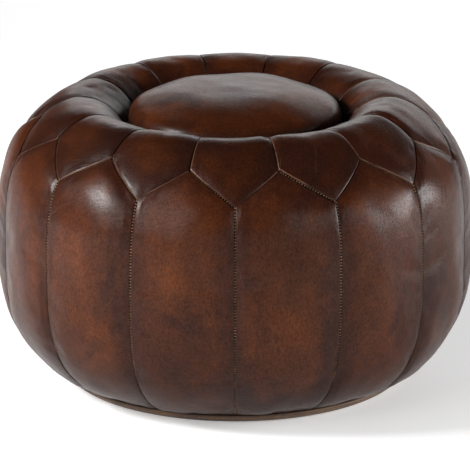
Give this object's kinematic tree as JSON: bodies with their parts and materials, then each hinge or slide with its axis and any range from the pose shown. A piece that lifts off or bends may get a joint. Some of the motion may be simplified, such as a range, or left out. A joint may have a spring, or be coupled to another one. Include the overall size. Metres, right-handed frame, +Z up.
{
  "type": "leather pouf",
  "caption": "Round stuffed leather floor pouf: a raised centre disc, a ring of petals and upright side panels sewn with tan thread, closed underneath by a zip.",
  "frame": {"origin": "on the floor, under the middle of the base", "axes": "+Z up the pouf's axis; -Y towards the front, where one petal's tip and the upright seam below it point; X along the zip"},
  "size_m": [0.64, 0.6414, 0.4],
  "materials": {
    "cover_leather": "aged, waxed, semi-gloss",
    "base_leather": "plain, satin",
    "thread": "waxed tan thread",
    "zip_metal": "aged satin",
    "zip_tape": "woven",
    "cotton_bag": "plain woven cotton",
    "stuffing": "loose fibre"
  },
  "bodies": {
    "pouf": {"base_half_back": "base_leather", "base_half_front": "base_leather", "base_rim_thread": "thread", "centre_disc": "cover_leather", "groove_seam_thread": "thread", "inner_bag_base": "cotton_bag", "inner_bag_side": "cotton_bag", "inner_bag_top": "cotton_bag", "petal_01": "cover_leather", "petal_02": "cover_leather", "petal_03": "cover_leather", "petal_04": "cover_leather", "petal_05": "cover_leather", "petal_06": "cover_leather", "petal_07": "cover_leather", "petal_08": "cover_leather", "petal_09": "cover_leather", "petal_10": "cover_leather", "petal_11": "cover_leather", "petal_12": "cover_leather", "petal_13": "cover_leather", "petal_14": "cover_leather", "petal_seam_thread": "thread", "side_panel_01": "cover_leather", "side_panel_02": "cover_leather", "side_panel_03": "cover_leather", "side_panel_04": "cover_leather", "side_panel_05": "cover_leather", "side_panel_06": "cover_leather", "side_panel_07": "cover_leather", "side_panel_08": "cover_leather", "side_panel_09": "cover_leather", "side_panel_10": "cover_leather", "side_panel_11": "cover_leather", "side_panel_12": "cover_leather", "side_panel_13": "cover_leather", "side_panel_14": "cover_leather", "side_seam_thread": "thread", "slanted_seam_thread": "thread", "stuffing": "stuffing", "zip_closed_end_stop": "zip_metal", "zip_coil_back": "zip_metal", "zip_coil_front": "zip_metal", "zip_open_end_stops": "zip_metal", "zip_tape_back": "zip_tape", "zip_tape_front": "zip_tape", "zip_thread": "thread"},
    "slider": {"zip_slider": "zip_metal"},
    "pull": {"zip_pull": "zip_metal"}
  },
  "joints": [
    {"name": "zip_slide", "type": "slide", "parent": "pouf", "child": "slider", "axis": [-1, 0, 0], "range_m": [0, 0.308]},
    {"name": "pull_hinge", "type": "hinge", "parent": "slider", "child": "pull", "pos_m": [0.154, 0, 0.003], "axis": [0, -1, 0], "range_deg": [-6, 172]}
  ]
}
